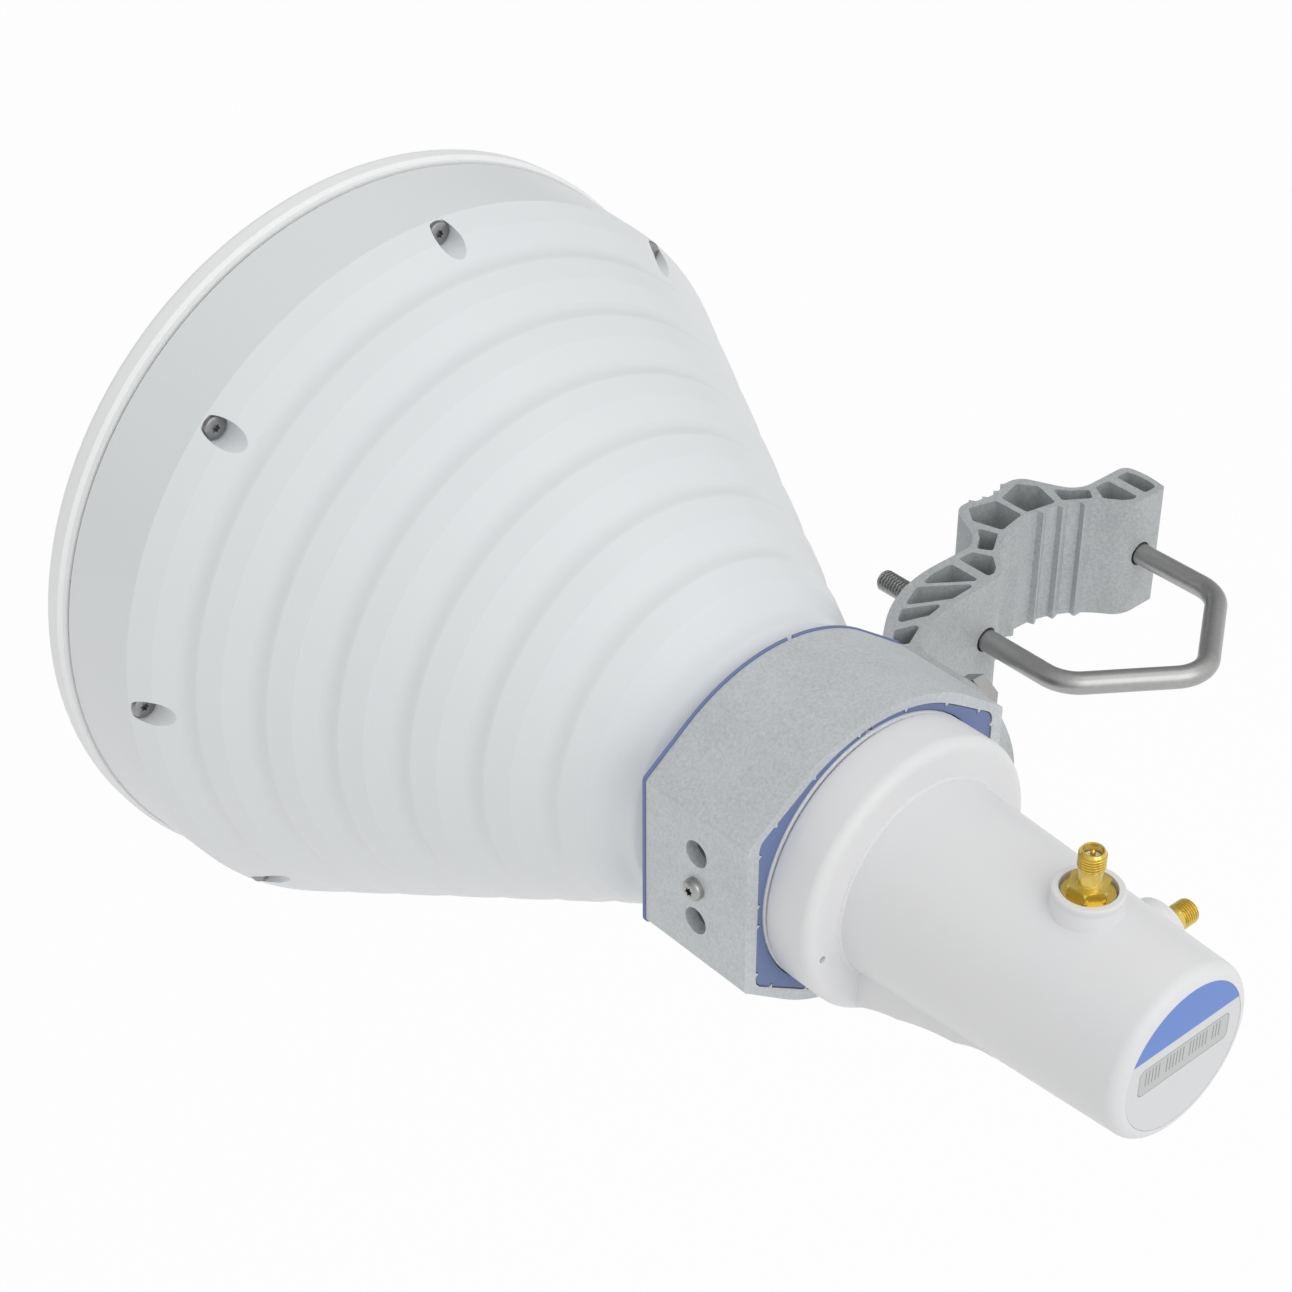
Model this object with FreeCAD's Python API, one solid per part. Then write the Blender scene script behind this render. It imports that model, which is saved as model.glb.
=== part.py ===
import FreeCAD, Part
import math
import os
from FreeCAD import Vector

# Horn antenna with a coaxial adapter, on an extruded bracket for a pole. Millimetres.
# The pole axis is Z, the horn looks along +Y and its axis lies at horn_axis_x, beyond the arm's foot.
# A "back" distance runs rearward from the seam at the horn's mouth.

# Clearances
fit_gap = 0.1
running_gap = 0.2
thread_gap = 0.05

# Horn casting
mouth_y = 158.7
mouth_radius = 103.5
skirt_length = 24.8
skirt_taper = 1.4
cone_step = 1.0
ridge_pitch = 17.2
ridge_count = 7
drop_width = 4.0
drop_slope = 0.15
rise_width = 7.0
crest_round = 7.0
valley_round = 2.5
horn_wall = 2.4
neck_start = 149.2
neck_radius = 35.9
neck_length = 38.0
neck_wall = 2.3
neck_edge = 0.8
guide_radius = 18.4
guide_wall = 3.0
lip_reach = 1.7
lip_length = 6.0
skirt_wall = 3.2

# Screws that hold the cap on the mouth
cap_screw_count = 8
cap_screw_inset = 4.7
cap_screw_length = 30.0
pocket_radius = 3.5
pocket_floor = 25.3
pocket_length = 20.0
boss_radius = 5.0
boss_length = 40.0
m3_radius = 1.5
m3_hole = 1.7
m3_head_radius = 2.85
m3_head_height = 2.3
m3_head_edge = 0.35
socket_radius = 1.35
socket_depth = 1.3

# Cap over the mouth and its seal
cap_overhang = 1.5
cap_lip_overhang = 0.5
cap_rim = 9.0
cap_ring_width = 11.0
cap_plate = 2.4
cap_dome = 6.0
seal_thickness = 0.8
seal_width = 2.0
seal_inset = 1.0

# Extruded clamp band and its split liner
band_front = 6.2
band_length = 34.5
liner_side_wall = 2.0
band_corner_z = 21.0
liner_crown_wall = 1.6
band_crown_radius = 47.8
band_side_wall = 3.5
band_crown_wall = 2.5
band_inner_crown_radius = 42.9
band_inner_fillet = 4.0
tooth_height = 0.9
tooth_width = 1.5
side_teeth_z = [3.0, 17.6]
crown_teeth_x = [7.5, 21.4, 33.0]
liner_bore_gap = 0.25
liner_gap = 0.3
liner_flange = 0.8
liner_flange_rise = 0.3
slit_width = 1.7
slit_front_x = 3.8
slit_rear_x = -4.3

# Foot joint between the band and the bracket
pivot_back = 170.0
foot_bolt_z = 10.0
band_hole_radius = 3.55
tilt_half_range = 20.0
saddle_length = 29.0
saddle_width = 12.0
m6_radius = 3.0
m6_hole = 3.3
m6_head_height = 4.0
m6_nut_height = 5.0
m6_across_flats = 10.0
m6_washer_radius = 6.0
m6_washer = 1.6
m6_spring_washer = 1.2
m6_spring_radius = 5.4

# Extruded bracket arm, its section seen from above
arm_height = 36.0
arm_reach = 70.9
foot_thickness = 4.9
seat_radius = 28.2
seat_tip_radius = 26.6
seat_teeth_angles = [9.1, 22.3, 35.5]
seat_tooth_steep = 1.2
seat_tooth_flat = 2.7
cell_round = 0.9
seat_edge_round = 8.0
leg_x = 30.7
leg_hole = 3.5
web_half = 1.55

# Bolt bent to a V round the pole
bolt_leg_end = 50.7
bolt_corner_y = -13.3
bolt_apex_y = -35.0
bolt_bend = 11.0

# Coaxial adapter behind the neck
cup_length = 14.0
cup_fillet = 2.8
cup_gap = 0.3
spigot_length = 11.0
spigot_wall = 2.0
lug_count = 3
lug_length = 4.0
lug_angle = 28.0
twist_angle = 35.0
tube_base_radius = 25.9
tube_end_radius = 21.9
tube_length = 78.5
tube_fillet = 3.3
tube_collar = 0.6
tube_wall = 1.6
face_wall = 2.2
label_radius = 18.6
label_thickness = 0.25
seal_edge = 1.8
seal_section = 0.8
seal_proud = 0.15
core_wall = 1.7
core_flange_gap = 0.5
core_flange = 2.6
core_screw_length = 8.0
ramp_half_width = 19.1
ramp_scoops = [(0.0, 34.4), (13.0, 30.3), (30.2, 26.5), (40.6, 24.0)]
scoop_depth = 0.5

# Coaxial jacks on the adapter, radii from the jack axis, heights from the horn axis
jack_back = 249.8
jack_boss_top = 27.9
jack_boss_radius = 8.15
jack_boss_lip = 1.3
jack_boss_waist = 0.35
jack_boss_flare = 1.0
jack_recess_radius = 6.55
jack_recess_floor = 25.2
jack_washer_radius = 6.0
jack_washer = 1.5
jack_hex_flats = 8.0
jack_hex = 2.8
jack_neck_radius = 2.7
jack_neck = 4.6
jack_thread_radius = 3.175
jack_thread = 2.9
jack_nose_radius = 2.6
jack_nose = 1.4
jack_bore = 2.2
insulator_radius = 2.05
insulator_recess = 2.6
jack_pin_radius = 0.65
jack_pin_recess = 0.6
probe_reach = 8.0

# Sizes that follow from the mouth and the neck
skirt_radius = mouth_radius - skirt_taper
crest_slope = (skirt_radius - neck_radius - cone_step) / (neck_start - skirt_length)
lip_radius = neck_radius - neck_wall - lip_reach
cap_screw_circle = mouth_radius - cap_screw_inset
cap_radius = mouth_radius + cap_overhang
cap_lip_radius = mouth_radius + cap_lip_overhang
band_half_width = neck_radius + liner_side_wall + band_side_wall
band_crown_z = neck_radius + liner_crown_wall + band_crown_wall
foot_inner_x = -arm_reach
horn_axis_x = foot_inner_x - running_gap - band_half_width
seal_circle = neck_radius - seal_edge
spigot_outer = lip_radius - running_gap * 2
spigot_inner = spigot_outer - spigot_wall
core_flange_radius = spigot_inner - core_flange_gap
core_outer = guide_radius + core_wall
core_screw_circle = (core_outer + core_flange_radius) / 2

axis_point = Vector(horn_axis_x, 0, 0)
forward = Vector(0, 1, 0)
up = Vector(0, 0, 1)
right = Vector(1, 0, 0)


def corner_wire(corners, place):
    """Closed wire through (a, b) or (a, b, radius) corners, each rounded by its radius."""
    flat = [Vector(c[0], c[1], 0) for c in corners]
    radii = [c[2] if len(c) > 2 else 0.0 for c in corners]
    runs = []
    for i, corner in enumerate(flat):
        before = (flat[i - 1] - corner).normalize()
        after = (flat[(i + 1) % len(flat)] - corner).normalize()
        if radii[i] == 0:
            runs.append([corner])
            continue
        half = before.getAngle(after) / 2
        reach = radii[i] / math.tan(half)
        centre = corner + (before + after).normalize() * (radii[i] / math.sin(half))
        middle = centre + (corner - centre).normalize() * radii[i]
        runs.append([corner + before * reach, middle, corner + after * reach])
    edges = []
    for i, run in enumerate(runs):
        if len(run) == 3:
            edges.append(Part.Arc(*[place(p.x, p.y) for p in run]).toShape())
        start = place(run[-1].x, run[-1].y)
        nearest = runs[(i + 1) % len(runs)][0]
        end = place(nearest.x, nearest.y)
        if start.distanceToPoint(end) > 1e-6:
            edges.append(Part.makeLine(start, end))
    return Part.Wire(edges)


def turned(corners):
    """Solid of revolution about the horn axis from (radius, back) corners."""
    wire = corner_wire(corners, lambda radius, back: Vector(horn_axis_x + radius, mouth_y - back, 0))
    return Part.Face(wire).revolve(axis_point, forward, 360)


def upright_prism(corners, height):
    """Prism of an outline in the XY plane, centred on z = 0."""
    wire = corner_wire(corners, lambda x, y: Vector(x, y, -height / 2))
    return Part.Face(wire).extrude(Vector(0, 0, height))


def rod(radius, start, end):
    """Cylinder between two points."""
    return Part.makeCylinder(radius, (end - start).Length, start, end - start)


def at_back(x, back, z):
    """Point given from the horn axis and the mouth seam."""
    return Vector(horn_axis_x + x, mouth_y - back, z)


def hex_prism(flats, start, along, height, turn=0.0):
    """Hexagonal prism from a start point along a direction."""
    corner = flats / math.sqrt(3)
    points = [Vector(corner * math.cos(math.radians(60 * k + turn)),
                     corner * math.sin(math.radians(60 * k + turn)), 0) for k in range(7)]
    prism = Part.Face(Part.makePolygon(points)).extrude(Vector(0, 0, height))
    prism.Placement = FreeCAD.Placement(start, FreeCAD.Rotation(up, along))
    return prism


def star_socket(start, along):
    """Six-pointed driver socket that goes into a head from its top."""
    points = []
    for k in range(13):
        reach = socket_radius if k % 2 == 0 else socket_radius * 0.62
        points.append(Vector(reach * math.cos(math.radians(30 * k)), reach * math.sin(math.radians(30 * k)), 0))
    star = Part.Face(Part.makePolygon(points)).extrude(Vector(0, 0, socket_depth))
    star.Placement = FreeCAD.Placement(start, FreeCAD.Rotation(up, along))
    return star


def pan_screw(seat, along, length, radius=m3_radius, socket=True):
    """Pan-head screw: the head stands on its seat against the driving direction."""
    direction = Vector(along).normalize()
    head = Part.makeCylinder(m3_head_radius, m3_head_height, seat, direction * -1)
    rim = max(head.Edges, key=lambda e: (e.CenterOfMass - seat).dot(direction * -1))
    head = head.makeFillet(m3_head_edge, [rim])
    screw = head.fuse(rod(radius, seat, seat + direction * length))
    if not socket:
        return screw.removeSplitter()
    return screw.cut(star_socket(seat - direction * m3_head_height, direction)).removeSplitter()


def washer(centre, along, radius, hole, thickness):
    """Flat ring from a centre point along a direction."""
    return Part.makeCylinder(radius, thickness, centre, along).cut(
        Part.makeCylinder(hole, thickness, centre, along))


def around_horn(shape, count, first=0.0):
    """Copies of a shape spread evenly round the horn axis."""
    return [shape.rotated(axis_point, forward, first + 360.0 * k / count) for k in range(count)]


def crest_radius(back):
    """Outer radius of the ridge crests at a distance behind the seam."""
    return skirt_radius - crest_slope * (back - skirt_length)


# Horn casting
drop = drop_width * (crest_slope - drop_slope)
inner_offset = drop + horn_wall * 1.13
throat_back = skirt_length + (skirt_radius - inner_offset - guide_radius) / crest_slope
neck_end = neck_start + neck_length
lip_back = neck_end - lip_length


def horn_outside():
    """Ridged cone from the mouth seam to the end of the neck."""
    corners = [(0, 0), (mouth_radius, 0), (skirt_radius, skirt_length)]
    for k in range(ridge_count):
        crest_end = skirt_length + ridge_pitch * (k + 1)
        drop_start = crest_end - drop_width
        rise_start = drop_start - rise_width
        corners.append((crest_radius(rise_start), rise_start))
        corners.append((crest_radius(crest_end) + drop_width * drop_slope, drop_start, crest_round))
        corners.append((crest_radius(crest_end), crest_end, valley_round))
    corners.append((crest_radius(neck_start), neck_start))
    corners.append((neck_radius, neck_start))
    corners.append((neck_radius, neck_end, neck_edge))
    corners.append((0, neck_end))
    return turned(corners)


def horn_inside():
    """Smooth cone and waveguide bore inside the casting."""
    return turned([(0, -1), (mouth_radius - skirt_wall - 1, -1), (mouth_radius - skirt_wall - 1, 0),
                   (crest_radius(skirt_length) - inner_offset, skirt_length),
                   (guide_radius, throat_back), (guide_radius, neck_end + 1), (0, neck_end + 1)])


def neck_groove():
    """Ring space inside the neck that takes the adapter, closed to the rear by a lip."""
    guide_outer = guide_radius + guide_wall
    deep = neck_start + 12.0
    slant = guide_radius + guide_wall + (throat_back - deep) * crest_slope
    room = turned([(neck_radius - neck_wall, lip_back), (neck_radius - neck_wall, deep), (slant, deep),
                   (guide_outer, throat_back), (guide_outer, lip_back)])
    mouth = turned([(lip_radius, neck_end + 1), (lip_radius, lip_back - 1),
                    (guide_outer, lip_back - 1), (guide_outer, neck_end + 1)])
    return room.fuse(mouth)


def ring_sector(inner, outer, back, length, angle, centre_angle):
    """Part of a ring about the horn axis, as wide as an angle."""
    profile = corner_wire([(inner, back), (outer, back), (outer, back + length), (inner, back + length)],
                          lambda radius, behind: at_back(radius, behind, 0))
    sector = Part.Face(profile).revolve(axis_point, forward, angle)
    return sector.rotated(axis_point, forward, centre_angle - angle / 2)


def make_horn_shell():
    """One-piece casting with screw pockets in its last ridge and a bayonet lip in its neck."""
    outside = horn_outside()
    shell = outside.cut(horn_inside())
    boss = rod(boss_radius, at_back(0, 0, cap_screw_circle), at_back(0, boss_length, cap_screw_circle))
    pocket = rod(pocket_radius, at_back(0, pocket_floor, cap_screw_circle),
                 at_back(0, pocket_floor + pocket_length, cap_screw_circle))
    hole = rod(m3_hole, at_back(0, -1, cap_screw_circle), at_back(0, pocket_floor + 1, cap_screw_circle))
    for turned_boss in around_horn(boss, cap_screw_count):
        shell = shell.fuse(turned_boss.common(outside))
    for cutter in around_horn(pocket.fuse(hole), cap_screw_count):
        shell = shell.cut(cutter)
    shell = shell.cut(neck_groove())
    for k in range(lug_count):
        entry = ring_sector(lip_radius - 1, neck_radius - neck_wall, lip_back - 1, lip_length + 2,
                            lug_angle + 4.0, 360.0 * k / lug_count + twist_angle)
        shell = shell.cut(entry)
    return shell.removeSplitter()


# Cap, seal and screws at the mouth
def dome_arc(base_back, reach):
    """Quarter view of the domed plate's surface, from the axis out to a radius."""
    sphere = (reach ** 2 + cap_dome ** 2) / (2 * cap_dome)
    half_rise = math.sqrt(sphere ** 2 - (reach / 2) ** 2) - (sphere - cap_dome)
    return Part.Arc(at_back(0, base_back - cap_dome, 0), at_back(reach / 2, base_back - half_rise, 0),
                    at_back(reach, base_back, 0)).toShape()


def make_radome_cap():
    """Plastic cover: a thick rim ring for the screws and a slightly domed plate."""
    rim_front = -(seal_thickness + cap_rim)
    rim_inner = cap_radius - cap_ring_width
    reach = rim_inner + 2
    ring = turned([(rim_inner, -seal_thickness), (cap_lip_radius, -seal_thickness),
                   (cap_lip_radius, -seal_thickness - 1.4), (cap_radius, -seal_thickness - 2.4),
                   (cap_radius, rim_front, 3.0), (rim_inner, rim_front)])
    plate_edges = [dome_arc(rim_front, reach), dome_arc(rim_front + cap_plate, reach),
                   Part.makeLine(at_back(reach, rim_front, 0), at_back(reach, rim_front + cap_plate, 0)),
                   Part.makeLine(at_back(0, rim_front - cap_dome, 0),
                                 at_back(0, rim_front - cap_dome + cap_plate, 0))]
    plate = Part.Face(Part.Wire(Part.__sortEdges__(plate_edges))).revolve(axis_point, forward, 360)
    cap = ring.fuse(plate)
    depth = cap_screw_length - pocket_floor + 0.5
    pilot = rod(m3_radius + thread_gap, at_back(0, 0, cap_screw_circle), at_back(0, -depth, cap_screw_circle))
    for cutter in around_horn(pilot, cap_screw_count):
        cap = cap.cut(cutter)
    return cap.removeSplitter()


def make_radome_seal():
    """Flat rubber ring between the casting and the cap."""
    outer = mouth_radius - seal_inset
    return turned([(outer, 0), (outer, -seal_thickness), (outer - seal_width, -seal_thickness),
                   (outer - seal_width, 0)])


def make_cap_screws():
    """Pan-head screws driven forward from the pockets."""
    screw = pan_screw(at_back(0, pocket_floor, cap_screw_circle), forward, cap_screw_length)
    return Part.Compound(around_horn(screw, cap_screw_count))


# Band and liner outline: flat sides, slanted shoulders and an arched crown
band_rear = band_front - band_length
inner_half_width = band_half_width - band_side_wall
inner_crown_z = band_crown_z - band_crown_wall
pivot_y = mouth_y - pivot_back


def tangent_point(half_width, corner_z, crown_z, crown_radius):
    """Where the line from a side corner touches the crown arc."""
    centre_z = crown_z - crown_radius
    distance = math.hypot(half_width, corner_z - centre_z)
    angle = math.atan2(half_width, corner_z - centre_z) - math.acos(crown_radius / distance)
    return crown_radius * math.sin(angle), centre_z + crown_radius * math.cos(angle)


def band_prism(half_width, corner_z, crown_z, crown_radius, rear, front, fillet):
    """Prism along Y of the band's outline."""
    touch_x, touch_z = tangent_point(half_width, corner_z, crown_z, crown_radius)

    def place(x, z):
        return Vector(horn_axis_x + x, rear, z)

    def side(sign):
        return [Part.makeLine(place(half_width, corner_z * sign), place(touch_x, touch_z * sign)),
                Part.Arc(place(touch_x, touch_z * sign), place(0, crown_z * sign),
                         place(-touch_x, touch_z * sign)).toShape(),
                Part.makeLine(place(-touch_x, touch_z * sign), place(-half_width, corner_z * sign))]

    edges = side(1) + side(-1)
    edges.append(Part.makeLine(place(half_width, -corner_z), place(half_width, corner_z)))
    edges.append(Part.makeLine(place(-half_width, -corner_z), place(-half_width, corner_z)))
    prism = Part.Face(Part.Wire(Part.__sortEdges__(edges))).extrude(Vector(0, front - rear, 0))
    long_edges = [e for e in prism.Edges
                  if abs(abs(e.CenterOfMass.x - horn_axis_x) - half_width) < 1e-4
                  and abs(abs(e.CenterOfMass.z) - corner_z) < 1e-4]
    return prism.makeFillet(fillet, long_edges)


def liner_seat(grow, rear, front):
    """Prism of the band's inner outline, made smaller by a clearance."""
    return band_prism(inner_half_width - grow, band_corner_z - grow * 0.3, inner_crown_z - grow,
                      band_inner_crown_radius - grow, rear, front, band_inner_fillet)


def inner_teeth(grow, rear, front):
    """V-shaped teeth that run along the band's inner wall, larger by a clearance."""
    teeth = []
    touch_x, touch_z = tangent_point(inner_half_width, band_corner_z, inner_crown_z, band_inner_crown_radius)
    centre_z = inner_crown_z - band_inner_crown_radius
    slope = math.atan2(touch_z - band_corner_z, inner_half_width - touch_x)
    spots = []
    for z in side_teeth_z:
        spots.append((inner_half_width, z, math.pi))
    for x in crown_teeth_x:
        if x < touch_x:
            angle = math.asin(x / band_inner_crown_radius)
            spots.append((x, centre_z + band_inner_crown_radius * math.cos(angle), -math.pi / 2 - angle))
        else:
            z = touch_z - (x - touch_x) * math.tan(slope)
            spots.append((x, z, -math.pi / 2 - slope))
    half = tooth_width / 2 + grow
    for x, z, inward in spots:
        normal = Vector(math.cos(inward), 0, math.sin(inward))
        along = Vector(-normal.z, 0, normal.x)
        root = Vector(x, 0, z) - normal * 0.2
        corners = [root + along * half, root - along * half, root + normal * (tooth_height + 0.2 + grow)]
        for flip_x in (1, -1):
            for flip_z in (1, -1):
                points = [Vector(horn_axis_x + c.x * flip_x, rear, c.z * flip_z) for c in corners]
                face = Part.Face(Part.makePolygon(points + [points[0]]))
                teeth.append(face.extrude(Vector(0, front - rear, 0)))
    return teeth


def foot_holes(radius, inner, outer):
    """Rods at the two bolt places, mirrored to both flats of the band."""
    rods = []
    for side in (1, -1):
        for z in (foot_bolt_z, -foot_bolt_z):
            rods.append(rod(radius, Vector(horn_axis_x + side * inner, pivot_y, z),
                            Vector(horn_axis_x + side * outer, pivot_y, z)))
    return rods


def make_clamp_band():
    """Extruded ring with toothed inner wall, drilled on both flats."""
    band = band_prism(band_half_width, band_corner_z, band_crown_z, band_crown_radius,
                      band_rear, band_front, 1.2)
    band = band.cut(liner_seat(0, band_rear - 1, band_front + 1))
    for tooth in inner_teeth(0, band_rear, band_front):
        band = band.fuse(tooth)
    for cutter in foot_holes(band_hole_radius, inner_half_width - 3, band_half_width + 1):
        band = band.cut(cutter)
    for side in (1, -1):
        band = band.cut(rod(m3_hole, Vector(horn_axis_x + side * (inner_half_width - 3), pivot_y, 0),
                            Vector(horn_axis_x + side * (band_half_width + 1), pivot_y, 0)))
    return band.removeSplitter()


def saddle_block(side, grow):
    """Block of the nut saddle between the band's flat and the neck."""
    inner_x = math.sqrt(neck_radius ** 2 - (saddle_length / 2) ** 2) - 1
    outer_x = inner_half_width - fit_gap + grow
    box = Part.makeBox(outer_x - inner_x, saddle_width + 2 * grow, saddle_length + 2 * grow,
                       Vector(inner_x, pivot_y - saddle_width / 2 - grow, -saddle_length / 2 - grow))
    box.translate(axis_point)
    if side < 0:
        box = box.mirror(axis_point, right)
    return box


def make_band_liner():
    """Split plastic ring that fills the band round the neck, with a thin flange in front."""
    rear = band_rear + 0.3
    liner = liner_seat(liner_gap, rear, band_front + 0.1)
    flange = band_prism(band_half_width + liner_flange_rise, band_corner_z + 0.4,
                        band_crown_z + liner_flange_rise, band_crown_radius + liner_flange_rise,
                        band_front + 0.1, band_front + 0.1 + liner_flange, 2.0)
    liner = liner.fuse(flange)
    liner = liner.cut(rod(neck_radius + liner_bore_gap, Vector(horn_axis_x, rear - 1, 0),
                          Vector(horn_axis_x, band_front + liner_flange + 2, 0)))
    for groove in inner_teeth(liner_gap, rear - 1, band_front):
        liner = liner.cut(groove)
    length = band_length + liner_flange + 6
    slit = Part.makeBox(slit_width, length, 20, Vector(horn_axis_x - slit_width / 2, band_rear - 3, 30))
    middle = Vector(horn_axis_x + (slit_front_x + slit_rear_x) / 2, (band_front + band_rear) / 2, 0)
    slit.translate(Vector(middle.x - horn_axis_x, 0, 0))
    turn = math.degrees(math.atan2(slit_front_x - slit_rear_x, band_length))
    liner = liner.cut(slit.rotated(middle, up, -turn))
    for side in (1, -1):
        liner = liner.cut(saddle_block(side, fit_gap))
    return liner.removeSplitter()


def make_nut_saddles():
    """Steel saddles behind both flats, tapped for the foot bolts and their centre screw."""
    saddles = []
    for side in (1, -1):
        saddle = saddle_block(side, 0)
        saddle = saddle.cut(rod(neck_radius + liner_bore_gap, Vector(horn_axis_x, band_rear, 0),
                                Vector(horn_axis_x, band_front, 0)))
        for groove in inner_teeth(fit_gap, band_rear, band_front):
            saddle = saddle.cut(groove)
        for cutter in foot_holes(m6_radius + thread_gap, 20, band_half_width):
            saddle = saddle.cut(cutter)
        saddle = saddle.cut(rod(m3_radius + thread_gap, Vector(horn_axis_x + side * 20, pivot_y, 0),
                                Vector(horn_axis_x + side * band_half_width, pivot_y, 0)))
        saddles.append(saddle)
    return Part.Compound(saddles)


def make_saddle_screws():
    """Pan-head screws in the middle of both flats; the right one is the foot's pivot."""
    length = band_half_width - neck_radius - liner_bore_gap - 0.1
    screws = []
    for side in (1, -1):
        seat = Vector(horn_axis_x + side * band_half_width, pivot_y, 0)
        screws.append(pan_screw(seat, right * -side, length))
    return Part.Compound(screws)


# Foot bolts, which travel in the curved slots of the bracket's foot
foot_outer_x = foot_inner_x + foot_thickness
washer_x = foot_outer_x + running_gap
spring_x = washer_x + m6_washer
head_x = spring_x + m6_spring_washer


def make_foot_bolts():
    """Hexagon bolts through the foot and the band into the saddle."""
    tip_x = horn_axis_x + math.sqrt(neck_radius ** 2 - foot_bolt_z ** 2) + 1.0
    bolts = []
    for z in (foot_bolt_z, -foot_bolt_z):
        head = hex_prism(m6_across_flats, Vector(head_x, pivot_y, z), right, m6_head_height, 1.0)
        bolts.append(head.fuse(rod(m6_radius, Vector(tip_x, pivot_y, z), Vector(head_x, pivot_y, z))))
    return Part.Compound(bolts)


def make_foot_washers():
    """Flat washers under the bolt heads."""
    return Part.Compound([washer(Vector(washer_x, pivot_y, z), right, m6_washer_radius,
                                 m6_radius + fit_gap, m6_washer) for z in (foot_bolt_z, -foot_bolt_z)])


def make_foot_spring_washers():
    """Split spring washers between the flat washers and the heads."""
    rings = []
    for z in (foot_bolt_z, -foot_bolt_z):
        ring = washer(Vector(spring_x, pivot_y, z), right, m6_spring_radius, m6_radius + fit_gap,
                      m6_spring_washer)
        rings.append(ring.cut(Part.makeBox(m6_spring_washer, 8, 0.8, Vector(spring_x, pivot_y, z - 0.4))))
    return Part.Compound(rings)


# Bracket arm
arm_back_y = 13.4
arm_front_y = 27.9
beak_y = 43.3
end_x = 38.5


def beak_teeth(side):
    """Half of the small teeth across the beak, from its edge inward or from its middle outward."""
    half = [(-6.9, beak_y), (-6.2, beak_y + 0.7), (-5.2, 42.3), (-3.0, 41.9), (-2.2, 42.8), (-1.3, 41.5)]
    return half if side < 0 else [(-x, y) for x, y in reversed(half)]


def arm_outline():
    """Outline of the extrusion, from the foot's tip round the front and back along the pole side."""
    relief_x = horn_axis_x + band_half_width + liner_flange_rise + 0.5
    swing = math.radians(tilt_half_range)
    flange_reach = (band_front + fit_gap - pivot_y) * math.cos(swing)
    relief_y = pivot_y + flange_reach - (band_corner_z + 0.4) * math.sin(swing) - 1.0
    foot_tip = pivot_y - arm_height / 2
    return [(foot_inner_x, foot_tip), (foot_inner_x, relief_y - 1.2, 0.5), (relief_x, relief_y, 0.5),
            (relief_x, 13.0, 1.2), (-51.5, arm_front_y, 46.0), (-19.6, arm_front_y, 8.0),
            (-12.2, beak_y, 5.5)] + beak_teeth(-1) + beak_teeth(1) + [
            (12.2, beak_y, 5.5), (19.6, arm_front_y, 8.0),
            (end_x, arm_front_y, 3.0), (end_x + 1.0, 20.6, 20.0), (end_x - 0.2, arm_back_y, 1.2),
            (-34.0, arm_back_y - 0.5, 20.0), (-52.0, 11.4, 30.0), (foot_outer_x, 7.2, 10.0),
            (foot_outer_x, foot_tip)]


def arm_cells():
    """Hollow cells of the extrusion: mirrored pairs round the pole seat, then the truss."""
    paired = [
        [(1.0, 38.9), (9.4, 41.1), (13.0, 36.2), (10.4, 27.9), (1.0, 29.6)],
        [(14.8, 33.1), (12.5, 27.4), (19.5, 22.7), (22.0, 26.2), (17.6, 29.3)],
        [(24.2, 25.9), (leg_x - web_half, 25.9), (leg_x - web_half, 15.3), (27.0, 15.3),
         (24.7, 16.8), (21.5, 20.9)]]
    single = [
        [(leg_x + web_half, 25.6), (36.6, 25.6), (37.4, 22.1), (37.4, 18.2), (36.6, 15.3),
         (leg_x + web_half, 15.3)],
        [(-44.8, 24.3), (-39.1, 25.5), (-leg_x - web_half, 25.6), (-leg_x - web_half, 15.2)],
        [(-55.0, 20.3), (-46.5, 23.9), (-33.9, 14.8), (-43.5, 14.2)],
        [(-62.0, 15.9), (-56.6, 19.5), (-46.4, 14.2), (-53.4, 12.9)],
        [(-67.6, 11.8), (-64.5, 14.1), (-57.6, 11.6), (-66.0, 7.6), (-67.6, 8.4)]]
    outlines = single + paired + [[(-x, y) for x, y in cell] for cell in paired]
    return [[(x, y, cell_round) for x, y in cell] for cell in outlines]


def seat_teeth():
    """Teeth on the concave pole seat, in mirrored pairs, steep towards the middle."""
    teeth = []
    for angle in seat_teeth_angles:
        for sign in (1, -1):
            turn = math.radians(angle) * sign
            radial = Vector(math.sin(turn), math.cos(turn), 0)
            outward = Vector(radial.y, -radial.x, 0) * sign
            root = radial * (seat_radius + 0.4)
            tip = radial * seat_tip_radius
            points = [root + outward * seat_tooth_flat, tip + outward * 0.2, tip - outward * 0.2,
                      root - outward * seat_tooth_steep]
            for p in points:
                p.z = -arm_height / 2
            face = Part.Face(Part.makePolygon(points + [points[0]]))
            teeth.append(face.extrude(Vector(0, 0, arm_height)))
    return teeth


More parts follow.
